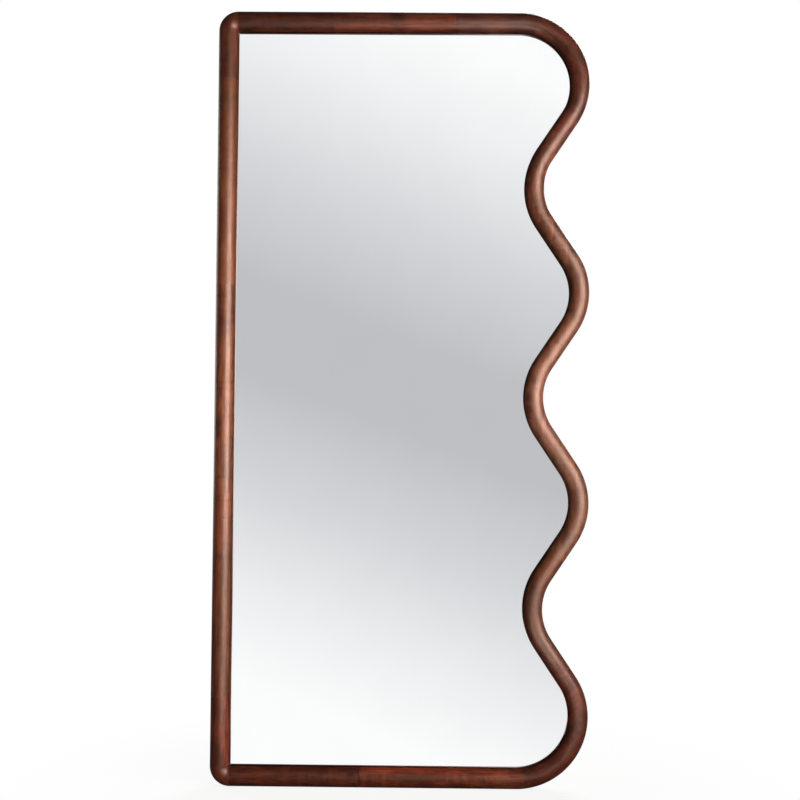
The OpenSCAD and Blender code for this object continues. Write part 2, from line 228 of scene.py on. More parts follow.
corner_turn = ("turn", corner_r, pi / 2)
end_turn = pi / 2 + wave_slope
stile_bottom_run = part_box("stile_bottom_block")[1].z + glue_line / 2 - bottom_z - corner_r
stile_top_run = top_z - corner_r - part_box("stile_top_block")[0].z + glue_line / 2
top_right_run = straight_end_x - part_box("top_rail_right")[0].x + glue_line / 2
bottom_right_run = straight_end_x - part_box("bottom_rail_right")[0].x + glue_line / 2
route = [
    ("stile_bottom_block", [corner_turn, ("run", stile_bottom_run)]),
    ("stile_lower_block", [straight("stile_lower_block", 2)]),
    ("stile_middle_block", [straight("stile_middle_block", 2)]),
    ("stile_upper_block", [straight("stile_upper_block", 2)]),
    ("stile_top_block", [("run", stile_top_run), corner_turn]),
    ("top_rail_left", [straight("top_rail_left", 0)]),
    ("top_rail_middle", [straight("top_rail_middle", 0)]),
    ("top_rail_right", [("run", top_right_run), ("turn", end_lobe_r, top_rail_turn)]),
    ("wave_block_1", [("turn", end_lobe_r, end_turn - top_rail_turn), half(slant(1))]),
    *((f"wave_block_{k}", [half(slant(k - 1)), lobe_turn(k), half(slant(k))]) for k in range(2, lobes)),
    (f"wave_block_{lobes}", [half(slant(lobes - 1)), ("turn", end_lobe_r, end_turn - bottom_rail_turn)]),
    ("bottom_rail_right", [("turn", end_lobe_r, bottom_rail_turn), ("run", bottom_right_run)]),
    ("bottom_rail_left", [straight("bottom_rail_left", 0)]),
]
route_start = (Vector((stile_x + corner_r, 0, bottom_z)), pi)
joint, heading = route_start
blocks = {}
for name, moves in route:
    blocks[name], joint, heading = walnut_block(name, joint, heading, moves)
bpy.data.objects.remove(bar_section)

# Walnut under a satin lacquer. Every block comes from another board, so each has its own place in the
# log, its own shine, and a grain that runs straight through it, also where it bends. Its tones are partly
# the board's own colour and partly painted light and shade, set block by block.


def paint(code):
    """A hex colour as the linear colour that shaders work in."""
    parts = [int(code[i:i + 2], 16) / 255 for i in (1, 3, 5)]
    return (*(((p + 0.055) / 1.055) ** 2.4 if p > 0.04 else p / 12.92 for p in parts), 1)


def add(tree, kind, inputs=None, **settings):
    """Adds a node: an input given as a socket is linked, and any other value is set."""
    made = tree.nodes.new("ShaderNode" + kind)
    for key, value in settings.items():
        setattr(made, key, value)
    for key, value in (inputs or {}).items():
        if isinstance(value, bpy.types.NodeSocket):
            tree.links.new(value, made.inputs[key])
        else:
            made.inputs[key].default_value = value
    return made


def ramp(tree, factor, *stops):
    """Colours or grey levels blended along a factor, given as (place, colour)."""
    made = add(tree, "ValToRGB", {"Fac": factor})
    while len(made.color_ramp.elements) < len(stops):
        made.color_ramp.elements.new(1)
    for element, (place, colour) in zip(made.color_ramp.elements, stops):
        element.position = place
        element.color = colour if isinstance(colour, tuple) else (colour, colour, colour, 1)
    return made.outputs["Color"]


def stretch(tree, vector, x, y, z):
    return add(tree, "VectorMath", {0: vector, 1: (x, y, z)}, operation="MULTIPLY").outputs["Vector"]


def noise(tree, vector, scale, detail=3, roughness=0.5):
    return add(tree, "TexNoise", {"Vector": vector, "Scale": scale, "Detail": detail,
                                  "Roughness": roughness}).outputs["Fac"]


def mix(tree, factor, first, second):
    """Colour first with second laid over it, as far as factor says."""
    return add(tree, "Mix", {0: factor, 6: first, 7: second}, data_type="RGBA").outputs[2]


def maths(tree, operation, *values):
    return add(tree, "Math", dict(enumerate(values)), operation=operation).outputs[0]


def level(tree, value, low, high, start=0.0, end=1.0):
    """Value from start to end turned into one from low to high, and no further."""
    return add(tree, "MapRange", {"Value": value, "From Min": start, "From Max": end,
                                  "To Min": low, "To Max": high}).outputs["Result"]


def group(name, inputs, outputs):
    """Starts a node group. Sockets are given as {name: kind}, with Float, Vector or Color."""
    tree = bpy.data.node_groups.new(name, "ShaderNodeTree")
    for in_out, sockets in (("INPUT", inputs), ("OUTPUT", outputs)):
        for socket, kind in sockets.items():
            tree.interface.new_socket(socket, in_out=in_out, socket_type="NodeSocket" + kind)
    return tree, tree.nodes.new("NodeGroupInput").outputs, tree.nodes.new("NodeGroupOutput").inputs


def use(tree, made_group, **inputs):
    return add(tree, "Group", inputs, node_tree=made_group).outputs


def own_coords(tree):
    """Metres in the piece's own frame, so that a pattern rides along with it."""
    return add(tree, "TexCoord").outputs["Object"]


def new_material(name, **shader):
    """A material with its Principled shader's plain values set. Returns it, its nodes and shader."""
    material = bpy.data.materials.new(name)
    material.use_nodes = True
    tree = material.node_tree
    principled = tree.nodes["Principled BSDF"]
    for key, value in shader.items():
        principled.inputs[key.replace("_", " ")].default_value = value
    return material, tree, principled


def cover(tree, principled, colour, roughness):
    """Feeds a Principled shader its colour and its roughness."""
    tree.links.new(colour, principled.inputs["Base Color"])
    tree.links.new(roughness, principled.inputs["Roughness"])


def bump(tree, principled, height, distance, strength=1.0):
    made = add(tree, "Bump", {"Height": height, "Distance": distance, "Strength": strength})
    tree.links.new(made.outputs["Normal"], principled.inputs["Normal"])


# Grain along Z round a pith at X = Y = 0: broad bands, growth rings, streaks, fibres, the cross
# figure of curly wood, and open pores
walnut_grain, given, result = group(
    "walnut_grain", {"Vector": "Vector", "Dark": "Color", "Light": "Color", "Figure": "Float"},
    {"Color": "Color", "Roughness": "Float", "Height": "Float"})
tree = walnut_grain
drawn_out = stretch(tree, given["Vector"], 1, 1, 0.06)
drift = add(tree, "TexNoise", {"Vector": drawn_out, "Scale": 22, "Detail": 2}).outputs["Color"]
sway = stretch(tree, drift, 0.012, 0.012, 0)
flow = add(tree, "VectorMath", {0: drawn_out, 1: sway}, operation="ADD").outputs["Vector"]
rings = add(tree, "TexWave", {"Vector": flow, "Scale": 60, "Distortion": 5, "Detail": 3,
                              "Detail Scale": 0.6}, wave_type="RINGS", rings_direction="Z",
            wave_profile="SAW").outputs["Fac"]
bands = ramp(tree, noise(tree, flow, 38, 2), (0.40, 0.0), (0.60, 1.0))
streaks = noise(tree, stretch(tree, flow, 1, 1, 2), 150, 4, 0.6)
streaks = ramp(tree, streaks, (0.40, 0.0), (0.60, 1.0))
veins = ramp(tree, noise(tree, flow, 240, 2), (0.56, 0.0), (0.66, 0.8))
patches = noise(tree, stretch(tree, given["Vector"], 1, 1, 0.3), 55, 3)
patches = ramp(tree, patches, (0.40, 0.0), (0.60, 1.0))
fibres = noise(tree, stretch(tree, given["Vector"], 1, 1, 0.02), 1500, 3)
pores = noise(tree, stretch(tree, given["Vector"], 1, 1, 0.05), 2600, 1)
pores = ramp(tree, pores, (0.60, 0.0), (0.68, 1.0))
curl = noise(tree, stretch(tree, given["Vector"], 0.4, 0.4, 1), 95, 2)
curly = noise(tree, stretch(tree, given["Vector"], 1, 1, 0.5), 14, 1)
curl = mix(tree, ramp(tree, curly, (0.36, 0.0), (0.54, 1.0)), (0, 0, 0, 1),
           ramp(tree, curl, (0.45, 0.0), (0.62, 1.0)))
mottle = noise(tree, stretch(tree, given["Vector"], 1, 1, 0.4), 32, 3)
mottle = ramp(tree, mottle, (0.55, 0.0), (0.68, 0.8))
tone = mix(tree, 0.35, mix(tree, 0.5, bands, streaks), patches)
tone = ramp(tree, tone, (0.22, 0.0), (0.78, 1.0))
board = mix(tree, tone, given["Dark"], given["Light"])
board = mix(tree, veins, board, given["Dark"])
board = mix(tree, mottle, board, given["Dark"])
board = mix(tree, bands, stretch(tree, board, 0.90, 1.10, 1.04), board)
board = mix(tree, ramp(tree, rings, (0.45, 0.0), (1.0, 0.6)), board, given["Dark"])
board = mix(tree, maths(tree, "MULTIPLY", curl, given["Figure"]), board, given["Light"])
board = mix(tree, level(tree, fibres, 0.0, 0.35), board, paint("#2a120b"))
board = mix(tree, level(tree, pores, 0.0, 0.6), board, paint("#1d0d08"))
tree.links.new(board, result["Color"])
gloss = maths(tree, "ADD", level(tree, streaks, 0.04, -0.04), level(tree, pores, 0.38, 0.58))
tree.links.new(gloss, result["Roughness"])
ridges = maths(tree, "MULTIPLY_ADD", fibres, 0.6, level(tree, pores, 0.4, 0.0))
tree.links.new(ridges, result["Height"])


# A short mark across the grain, such as a pin knot or the dark line where a joint took up stain
cross_mark, given, result = group(
    "cross_mark", {"Vector": "Vector", "Place": "Float", "Reach": "Float", "Strength": "Float"},
    {"Mask": "Float"})
tree = cross_mark
along = add(tree, "SeparateXYZ", {0: given["Vector"]}).outputs["Z"]
wavy = level(tree, noise(tree, stretch(tree, given["Vector"], 1, 1, 0.2), 130, 2), -0.004, 0.004)
along = maths(tree, "ADD", along, wavy)
away = maths(tree, "ABSOLUTE", maths(tree, "SUBTRACT", along, given["Place"]))
mark = add(tree, "MapRange", {"Value": away, "From Max": given["Reach"], "To Min": given["Strength"],
                              "To Max": 0.0}, interpolation_type="SMOOTHSTEP").outputs["Result"]
broken = noise(tree, stretch(tree, given["Vector"], 1, 1, 0.3), 90, 2)
broken = ramp(tree, broken, (0.42, 0.1), (0.56, 1.0))
tree.links.new(maths(tree, "MULTIPLY", mark, broken), result["Mask"])


def walnut(name, tilt, place, dark, light, figure, shine, marks):
    """Lacquered walnut whose grain leans by tilt from upright. place is the block's own place in
    the log, figure how much cross figure it has, and shine how strongly the lacquer reflects. A
    mark is (place along the grain, reach, strength, colour)."""
    material, tree, principled = new_material("walnut_" + name, IOR=1.55, Specular_IOR_Level=shine,
                                              Specular_Tint=(1, 0.72, 0.61, 1), Coat_Weight=0.1,
                                              Coat_Roughness=0.4)
    leant = add(tree, "Mapping", {"Vector": own_coords(tree), "Rotation": (0, -tilt, 0)}).outputs["Vector"]
    in_log = add(tree, "VectorMath", {0: leant, 1: place}, operation="ADD").outputs["Vector"]
    grain = use(tree, walnut_grain, Vector=in_log, Dark=paint(dark), Light=paint(light), Figure=figure)
    colour = grain["Color"]
    for spot, reach, strength, shade in marks:
        mask = use(tree, cross_mark, Vector=leant, Place=spot, Reach=reach, Strength=strength)["Mask"]
        colour = mix(tree, mask, colour, paint(shade))
    cover(tree, principled, colour, grain["Roughness"])
    bump(tree, principled, grain["Height"], distance=0.0003, strength=0.7)
    return material


# Each block's dark and light tone, the lean of its grain in degrees, its figure and its shine. The
# tones are partly the board's own colour and partly painted light and shade: some blocks are set darker
# or lighter in place of the shade and highlight that the lamps don't give them.
boards_and_painted_light = {
    "stile_bottom_block": ("#4d1f12", "#98442c", 0, 0.35, 1.0),
    "stile_lower_block": ("#4f2213", "#8f4729", 0, 0.3, 1.0),
    "stile_middle_block": ("#4c1f14", "#965433", 0, 0.25, 1.0),
    "stile_upper_block": ("#6f331b", "#905233", 0, 0.25, 1.0),
    "stile_top_block": ("#461d11", "#853c27", 0, 0.35, 1.0),
    "top_rail_left": ("#35150d", "#652d1d", 90, 0.35, 0.6),
    "top_rail_middle": ("#461c11", "#813a25", 90, 0.35, 0.6),
    "top_rail_right": ("#3a1b17", "#6a3128", 90, 0.35, 0.85),
    "wave_block_1": ("#431d13", "#7d3b2a", 127, 0.5, 0.82),
    "wave_block_2": ("#482215", "#894a34", 0, 0.45, 0.82),
    "wave_block_3": ("#422014", "#7b4b34", 0, 0.5, 0.82),
    "wave_block_4": ("#4d2419", "#85523d", 0, 0.4, 0.82),
    "wave_block_5": ("#402116", "#784933", 0, 0.5, 0.82),
    "wave_block_6": ("#39190f", "#673721", 0, 0.4, 0.82),
    "wave_block_7": ("#451c11", "#793623", 47, 0.4, 0.65),
    "bottom_rail_right": ("#5e2617", "#ab4d32", 90, 0.35, 0.36),
    "bottom_rail_left": ("#471c11", "#843b26", 90, 0.35, 0.36),
}
knot = "#26100a"
marks = {
    "stile_lower_block": [(0.500, 0.012, 0.5, knot), (0.584, 0.003, 0.9, knot),
                          (0.621, 0.003, 0.8, knot)],
    "stile_middle_block": [(0.671, 0.006, 0.8, knot), (0.864, 0.003, 0.8, knot),
                           (0.879, 0.003, 0.8, knot), (1.067, 0.004, 0.7, knot)],
    "stile_upper_block": [(1.349, 0.003, 0.7, knot), (1.361, 0.002, 0.6, knot),
                          (1.500, 0.030, 0.4, knot)],
    "stile_top_block": [(1.549, 0.004, 0.8, knot), (1.590, 0.008, 0.5, knot)],
    "top_rail_left": [(-0.345, 0.020, 0.8, knot), (-0.155, 0.003, 0.6, knot)],
    "top_rail_middle": [(-0.015, 0.028, 0.6, knot), (0.060, 0.030, 0.4, "#713b29")],
    "top_rail_right": [(0.113, 0.010, 0.8, knot), (0.200, 0.050, 0.5, "#71422b")],
    "bottom_rail_right": [(0.225, 0.030, 0.6, "#7b452e"), (-0.074, 0.006, 0.6, "#713b29"),
                          (-0.0845, 0.003, 0.8, knot)],
    "bottom_rail_left": [(-0.0845, 0.004, 0.8, knot), (-0.300, 0.012, 0.6, "#712812")],
}
from_pith = 0.07
board_steps = (0.011, 0.03, 1.9)
for number, (name, (dark, light, tilt, figure, shine)) in enumerate(boards_and_painted_light.items()):
    place = (from_pith + board_steps[0] * (number % 4), board_steps[1] * (number % 3),
             board_steps[2] * number)
    material = walnut(name, radians(tilt), place, dark, light, figure, shine, marks.get(name, ()))
    blocks[name].data.materials.clear()
    blocks[name].data.materials.append(material)

# Beech dowels, two to a joint, in the stile, the rails and the wave. They are glued in and don't
# show: pale short-grained rods with the small dark flecks of beech.
beech, tree, principled = new_material("beech", Coat_Weight=0.05)
coords = own_coords(tree)
flecks = ramp(tree, noise(tree, coords, 900, 2), (0.60, 0.0), (0.68, 1.0))
tone = ramp(tree, noise(tree, coords, 60, 4), (0.3, paint("#c39a72")), (0.7, paint("#dab78e")))
cover(tree, principled, mix(tree, flecks, tone, paint("#8f6443")), level(tree, flecks, 0.55, 0.75))
bump(tree, principled, flecks, distance=-0.0001, strength=0.5)


def dress(material, *names):
    """Gives CAD nodes that keep their own shape a material."""
    for name in names:
        for holder in bpy.data.objects[name].material_slots:
            holder.material = material


dress(beech, "stile_dowels", "rail_dowels", "wave_dowels")

# The mirror itself: 4 mm float glass, silvered on its back. Its edge is ground and follows the
# frame's opening, 5 mm under the lip all the way round.
glass_low, glass_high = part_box("mirror_glass")
glass_u = glass_bite - half_w  # outwards from the bar's centreline
glass_arris = 0.0005
skin = 0.00005  # the glass clears the lip before it and the foam behind it by this much
joint, heading = route_start
start = joint + Vector((-sin(heading), 0, cos(heading))) * glass_u
start.y = glass_high.y - skin
glass = begin("silvered_glass", bpy.ops.mesh.primitive_circle_add, vertices=3, radius=0.001,
              location=start)
bpy.ops.mesh.merge(type="CENTER")
for _, moves in route:
    joint, heading = follow(joint, heading, moves, bpy.ops.mesh.extrude_vertices_move)
bpy.ops.mesh.select_all(action="SELECT")
bpy.ops.mesh.remove_doubles(threshold=1e-5)
bpy.ops.mesh.edge_face_add()
to_front = (0, glass_low.y - glass_high.y + 2 * skin, 0)
bpy.ops.mesh.extrude_region_move(TRANSFORM_OT_translate={"value": to_front})
select(glass, "edges", lambda e: abs(e.verts[0].co.y - e.verts[1].co.y) < 1e-6)
bpy.ops.mesh.bevel(offset=glass_arris, segments=2)
close()
bpy.ops.object.shade_smooth_by_angle(angle=radians(20))
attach(glass, "mirror")
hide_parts("mirror_glass")

clear_glass, tree, principled = new_material("clear_glass", Base_Color=paint("#fefefe"), IOR=1.52,
                                             Roughness=0.0, Transmission_Weight=1.0,
                                             Specular_Tint=(0, 0, 0, 1))
silvering, tree, principled = new_material("silvering", Metallic=1.0)
coords = own_coords(tree)
wiped = noise(tree, coords, 9, 4)
cover(tree, principled, ramp(tree, wiped, (0.3, paint("#fbfcfc")), (0.7, paint("#fdfefe"))),
      level(tree, wiped, 0.0, 0.012))
glass.data.materials.append(clear_glass)
glass.data.materials.append(silvering)
for face in glass.data.polygons:
    face.material_index = int(face.normal.y > 0.99)

# Two hard black plastic blocks carry the glass in the bottom rail's rebate, above the feet. They
# are cut from strip and have its fine sawn texture.
black_plastic, tree, principled = new_material("black_plastic", IOR=1.46)
coords = own_coords(tree)
grit = noise(tree, coords, 2400, 3)
cover(tree, principled, ramp(tree, grit, (0.3, paint("#202223")), (0.7, paint("#34373a"))),
      level(tree, grit, 0.42, 0.62))
bump(tree, principled, grit, distance=0.00005)
dress(black_plastic, "setting_blocks")

# A 1 mm sheet of grey closed-cell foam lies between the glass and the back panel and takes up the
# play. It is cut to the outline of the glass.
grey_foam, tree, principled = new_material("grey_foam", Sheen_Weight=0.2)
coords = own_coords(tree)
cells = add(tree, "TexVoronoi", {"Vector": coords, "Scale": 1400}).outputs["Distance"]
cover(tree, principled, ramp(tree, cells, (0.1, paint("#3a3c3e")), (0.6, paint("#5c5f61"))),
      level(tree, cells, 0.85, 0.98))
bump(tree, principled, cells, distance=0.0002)
dress(grey_foam, "foam_sheet")

# The back panel: 5 mm birch plywood of five plies, unfinished, with the holes countersunk from
# behind. Its face veneer is rotary cut, so wide flames of grain run up it.
panel_low, panel_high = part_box("back_panel")
ply = (panel_high.y - panel_low.y) / 5
flames = 34.0  # contour lines of a slow noise stand for the rings that the knife cut through
plywood, tree, principled = new_material("plywood")
coords = own_coords(tree)
flat = stretch(tree, coords, 1, 0, 0.14)
contours = maths(tree, "MULTIPLY", noise(tree, flat, 3.5, 2, 0.3), flames)
contours = maths(tree, "FRACT", contours)
fibres = noise(tree, stretch(tree, coords, 1, 1, 0.03), 900, 3)
patches = noise(tree, stretch(tree, coords, 1, 1, 0.3), 9, 4)
veneer = ramp(tree, contours, (0.0, paint("#cba97b")), (0.15, paint("#d3b487")), (0.6, paint("#c9a576")),
              (0.95, paint("#a67c4e")), (1.0, paint("#cba97b")))
veneer = mix(tree, level(tree, fibres, 0.0, 0.5), veneer, paint("#a88357"))
veneer = mix(tree, level(tree, patches, 0.0, 0.4), veneer, paint("#d9bf97"))
depth = add(tree, "SeparateXYZ", {0: coords}).outputs["Y"]
depth = maths(tree, "SUBTRACT", depth, (panel_low.y + panel_high.y) / 2)
in_plies = maths(tree, "DIVIDE", maths(tree, "ABSOLUTE", depth), 4 * ply)
plies = ramp(tree, in_plies, (0.120, 0.0), (0.130, 1.0), (0.370, 1.0), (0.380, 0.0))
cover(tree, principled, mix(tree, plies, veneer, paint("#8d6a42")), level(tree, fibres, 0.62, 0.85))
bump(tree, principled, fibres, distance=0.00012, strength=0.6)
dress(plywood, "back_panel")

# Countersunk steel screws, zinc plated, hold the panel to the frame's ledge: one in every lobe and
# the rest along the straight sides, their heads flush and their cross slots as the driver left them.
screw_d = 0.0035
screw_head_d = 0.007
screw_l = 0.014
rim_h = 0.0003
point_l = 0.003
point_r = 0.0003
slot_l = 0.0034
slot_w = 0.0009
slot_depth = 0.0016


def turned(name, sides, profile):
    """Turns a round piece about Y through the origin, from (radius, place along Y) to the next."""
    radius, place = profile[0]
    piece = begin(name, bpy.ops.mesh.primitive_circle_add, "FACE", vertices=sides, radius=radius,
                  fill_type="NGON", location=(0, place, 0), rotation=(pi / 2, 0, 0))
    for next_radius, next_place in profile[1:]:
        bpy.ops.mesh.extrude_region_move(TRANSFORM_OT_translate={"value": (0, next_place - place, 0)})
        bpy.ops.transform.resize(value=(next_radius / radius,) * 3, center_override=(0, next_place, 0))
        radius, place = next_radius, next_place
    close()
    return piece


def modify(piece, kind, **settings):
    """Adds a modifier to a piece and applies it."""
    bpy.context.view_layer.objects.active = piece
    modifier = piece.modifiers.new(kind, kind)
    for key, value in settings.items():
        setattr(modifier, key, value)
    bpy.ops.object.modifier_apply(modifier=modifier.name)


def cut_cross(screw, top):
    """Cuts a tapered cross slot into a screw head whose top lies at top."""
    cutter = begin("cutter", bpy.ops.mesh.primitive_cube_add, scale=(slot_l, 2 * slot_depth, slot_w),
                   size=1, location=(0, top, 0))
    select(cutter, "faces", lambda face: face.normal.y < -0.9)
    bpy.ops.transform.resize(value=(0.45, 1, 0.6), center_override=(0, top, 0))
    bpy.ops.mesh.select_all(action="SELECT")
    bpy.ops.mesh.duplicate()
    bpy.ops.transform.rotate(value=pi / 2, orient_axis="Y", center_override=(0, top, 0))
    bpy.ops.object.mode_set(mode="OBJECT")
    modify(screw, "BOOLEAN", object=cutter, operation="DIFFERENCE", solver="EXACT", use_self=True)
    bpy.data.objects.remove(cutter)


def finish_metal(piece, edge):
    modify(piece, "BEVEL", width=edge, segments=2, limit_method="ANGLE", angle_limit=radians(35))
    bpy.ops.object.select_all(action="DESELECT")
    piece.select_set(True)
    bpy.ops.object.shade_smooth_by_angle(angle=radians(35))


def copy_to(piece, name, place, turn=0.0):
    made = bpy.data.objects.new(name, piece.data.copy())
    bpy.context.collection.objects.link(made)
    made.data.transform(Matrix.Translation(place) @ Matrix.Rotation(turn, 4, "Y"))
    return made


def places(node, apart):
    """Where a CAD node's solids stand, as (x, z). They are more than apart from each other."""
    solids = []
    for vertex in bpy.data.objects[node].data.vertices:
        spot = vertex.co.xz
        near = [solid for solid in solids if (solid[0] - spot).length < apart]
        if near:
            near[0].append(spot)
        else:
            solids.append([spot])
    return [[(min(spot[i] for spot in solid) + max(spot[i] for spot in solid)) / 2 for i in (0, 1)]
            for solid in solids]


# Patchy wear along sharp edges
edge_wear, given, result = group("edge_wear", {"Amount": "Float"}, {"Mask": "Float"})
tree = edge_wear
pointed = add(tree, "NewGeometry").outputs["Pointiness"]
sharp = ramp(tree, pointed, (0.51, 0.0), (0.60, 1.0))
spots = noise(tree, own_coords(tree), 700, 3)
worn = maths(tree, "MULTIPLY", maths(tree, "MULTIPLY", sharp, spots), given["Amount"])
tree.links.new(worn, result["Mask"])

zinc_steel, tree, principled = new_material("zinc_steel", Metallic=1.0)
coords = own_coords(tree)
clouds = noise(tree, coords, 160, 4)
scratches = noise(tree, stretch(tree, coords, 1, 1, 0.1), 2500, 2)
worn = use(tree, edge_wear, Amount=0.8)["Mask"]
plated = ramp(tree, clouds, (0.3, paint("#a3a7ab")), (0.55, paint("#babcbe")), (0.75, paint("#bdb9ad")))
rough = maths(tree, "ADD", level(tree, clouds, 0.26, 0.48), level(tree, scratches, -0.06, 0.06))
cover(tree, principled, mix(tree, worn, plated, paint("#d9dadb")), rough)
bump(tree, principled, scratches, distance=0.00003, strength=0.5)

head_r = screw_head_d / 2
rim_r = head_r - 0.0001
shank_r = screw_d / 2
point = [(shank_r, -screw_l + point_l), (point_r, -screw_l)]
screw = turned("countersunk_screw", 28, [
    (rim_r, 0), (rim_r, -rim_h), (shank_r, -rim_h - head_r + shank_r), *point])
cut_cross(screw, 0)
finish_metal(screw, 0.00012)
screw.data.materials.append(zinc_steel)
for number, (x, z) in enumerate(places("panel_screws", apart=0.01)):
    fixed = copy_to(screw, f"panel_screw_{number + 1}", (x, panel_high.y, z), 0.7 * number)
    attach(fixed, "mirror")
    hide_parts("panel_screws")
bpy.data.objects.remove(screw)

# Hanger straps: zinc plated steel strip, one end round and drilled for two screws, the other
# rolled into an eye round the ring's pin.
ring_low, ring_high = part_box("hanger_ring_left")
strap_low, strap_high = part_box("hanger_strap_left")
wire_r = (ring_high.y - ring_low.y) / 2
ring_clearance = 0.0001
strap_w = strap_high.x - strap_low.x
strap_t = 0.0012
eye_outer_r = 0.0028
eye_turn = radians(335)
pin_y = ring_low.y + wire_r
pin_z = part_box("hanger_strap_left")[1].z - eye_outer_r
crank_l = 0.005  # the strap steps out towards its eye from this far below the pin
crank_rise = pin_y - wire_r - ring_clearance - strap_t - strap_low.y
round_end_z = strap_low.z + strap_w / 2
strap_screw_z = [pin_z - 0.027, pin_z - 0.041]
strap_hole_r = 0.002

strap = begin("strap", bpy.ops.mesh.primitive_circle_add, vertices=48, radius=strap_w / 2,
              rotation=(pi / 2, 0, 0), location=(0, strap_low.y, round_end_z))
bpy.ops.mesh.bisect(plane_co=(0, 0, round_end_z), plane_no=(0, 0, 1), clear_outer=True)
select(strap, "verts", lambda v: abs(abs(v.co.x) - strap_w / 2) < 1e-6)
bpy.ops.mesh.extrude_vertices_move(TRANSFORM_OT_translate={"value": (0, 0, pin_z - crank_l - round_end_z)})
bpy.ops.mesh.edge_face_add()
for z in strap_screw_z:
    bpy.ops.mesh.primitive_circle_add(vertices=32, radius=strap_hole_r, rotation=(pi / 2, 0, 0),
                                      location=(0, strap_low.y, z))
bpy.ops.mesh.select_all(action="SELECT")
bpy.ops.mesh.fill()
bpy.ops.mesh.select_all(action="SELECT")
bpy.ops.mesh.extrude_region_move(TRANSFORM_OT_translate={"value": (0, strap_t, 0)})
bpy.ops.mesh.select_all(action="SELECT")
bpy.ops.mesh.normals_make_consistent(inside=False)
select(strap, "faces", lambda face: face.normal.z > 0.9
       and face.calc_center_median().z > pin_z - crank_l - 0.001)
bpy.ops.mesh.extrude_region_move(TRANSFORM_OT_translate={"value": (0, crank_rise, crank_l)})
bpy.ops.mesh.spin(steps=34, angle=eye_turn, center=(0, pin_y, pin_z), axis=(1, 0, 0))
close(weld=1e-6)
finish_metal(strap, 0.00018)
strap.data.materials.append(zinc_steel)
for side in ("left", "right"):
    low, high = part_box("hanger_strap_" + side)
    fixed = copy_to(strap, "strap_" + side, ((low.x + high.x) / 2, 0, 0))
    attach(fixed, "mirror")
    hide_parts("hanger_strap_" + side)
bpy.data.objects.remove(strap)

# Rings of 3 mm steel wire, zinc plated: a straight pin through the strap's eye, a bend at each
# side, two short legs and a half circle. They swing on the pin.
ring_r = (ring_high.x - ring_low.x) / 2 - wire_r
ring_leg = pin_z - ring_low.z - wire_r - ring_r
bend_r = 0.0025

ring = begin("ring", bpy.ops.mesh.primitive_circle_add, "EDGE", vertices=20, radius=wire_r,
             rotation=(0, pi / 2, 0), location=(0, pin_y, pin_z))
for run, steps, angle, centre in (
        ((ring_r - bend_r, 0, 0), 8, 90, (ring_r - bend_r, pin_z - bend_r)),
        ((0, 0, bend_r - ring_leg), 32, 180, (0, pin_z - ring_leg)),
        ((0, 0, ring_leg - bend_r), 8, 90, (bend_r - ring_r, pin_z - bend_r)),
        ((ring_r - bend_r, 0, 0), 0, 0, None)):
    bpy.ops.mesh.extrude_region_move(TRANSFORM_OT_translate={"value": run})
    if centre:
        bpy.ops.mesh.spin(steps=steps, angle=-radians(angle), center=(centre[0], pin_y, centre[1]),
                          axis=(0, 1, 0))
close(weld=1e-5)
bpy.ops.object.shade_smooth_by_angle(angle=radians(35))
ring.data.materials.append(zinc_steel)
for side in ("left", "right"):
    low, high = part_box("hanger_ring_" + side)
    hung = copy_to(ring, "ring_" + side, ((low.x + high.x) / 2, 0, 0))
    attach(hung, side + "_ring")
    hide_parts("hanger_ring_" + side)
bpy.data.objects.remove(ring)

# Two round-headed screws hold each strap to the frame's back. They are the panel screws' steel,
# gauge and length, with a domed head that bears on the strap.
strap_head_h = 0.0022
screw = turned("round_headed_screw", 28, [
    (0.0012, strap_head_h), (0.0022, strap_head_h - 0.0002), (0.0029, strap_head_h - 0.0007),
    (0.00335, strap_head_h - 0.0014), (head_r, 0.0002), (head_r, 0), (shank_r, 0), *point])
cut_cross(screw, strap_head_h)
finish_metal(screw, 0.0001)
screw.data.materials.append(zinc_steel)
for side in ("left", "right"):
    low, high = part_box("hanger_strap_" + side)
    for number, z in enumerate(strap_screw_z):
        fixed = copy_to(screw, f"strap_screw_{side}_{number + 1}",
                        ((low.x + high.x) / 2, strap_low.y + strap_t, z), 0.4 + 0.9 * number)
        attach(fixed, "mirror")
        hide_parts("hanger_screws")
bpy.data.objects.remove(screw)

# Four moulded rubber bumpers stand on the frame's back and rest on the wall. Each is a blunt cone
# with a dished face.
bumper_low, bumper_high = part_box("wall_bumpers")
bumper_h = bumper_high.y - bumper_low.y
bumper_r = 0.008
tip_r = 0.0065
bumper = turned("bumper", 48, [
    (bumper_r, 0), (bumper_r, 0.0008), (tip_r + 0.0003, bumper_h - 0.0012),
    (tip_r - 0.0002, bumper_h - 0.0004), (tip_r - 0.0009, bumper_h), (tip_r - 0.0020, bumper_h),
    (tip_r - 0.0026, bumper_h - 0.0005), (0.0015, bumper_h - 0.0009)])
finish_metal(bumper, 0.0001)

black_rubber, tree, principled = new_material("black_rubber", IOR=1.5, Sheen_Weight=0.08)
coords = own_coords(tree)
grain = noise(tree, coords, 1800, 3)
dust = ramp(tree, noise(tree, coords, 45, 4), (0.5, 0.0), (0.75, 0.5))
worn = use(tree, edge_wear, Amount=0.5)["Mask"]
rubber = ramp(tree, grain, (0.3, paint("#141414")), (0.7, paint("#232323")))
rubber = mix(tree, dust, rubber, paint("#4a4845"))
cover(tree, principled, mix(tree, worn, rubber, paint("#4c4c4c")), level(tree, grain, 0.62, 0.85))
bump(tree, principled, grain, distance=0.00006)
bumper.data.materials.append(black_rubber)
for number, (x, z) in enumerate(places("wall_bumpers", apart=0.03)):
    fixed = copy_to(bumper, f"wall_bumper_{number + 1}", (x, bumper_low.y, z))
    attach(fixed, "mirror")
    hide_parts("wall_bumpers")
bpy.data.objects.remove(bumper)

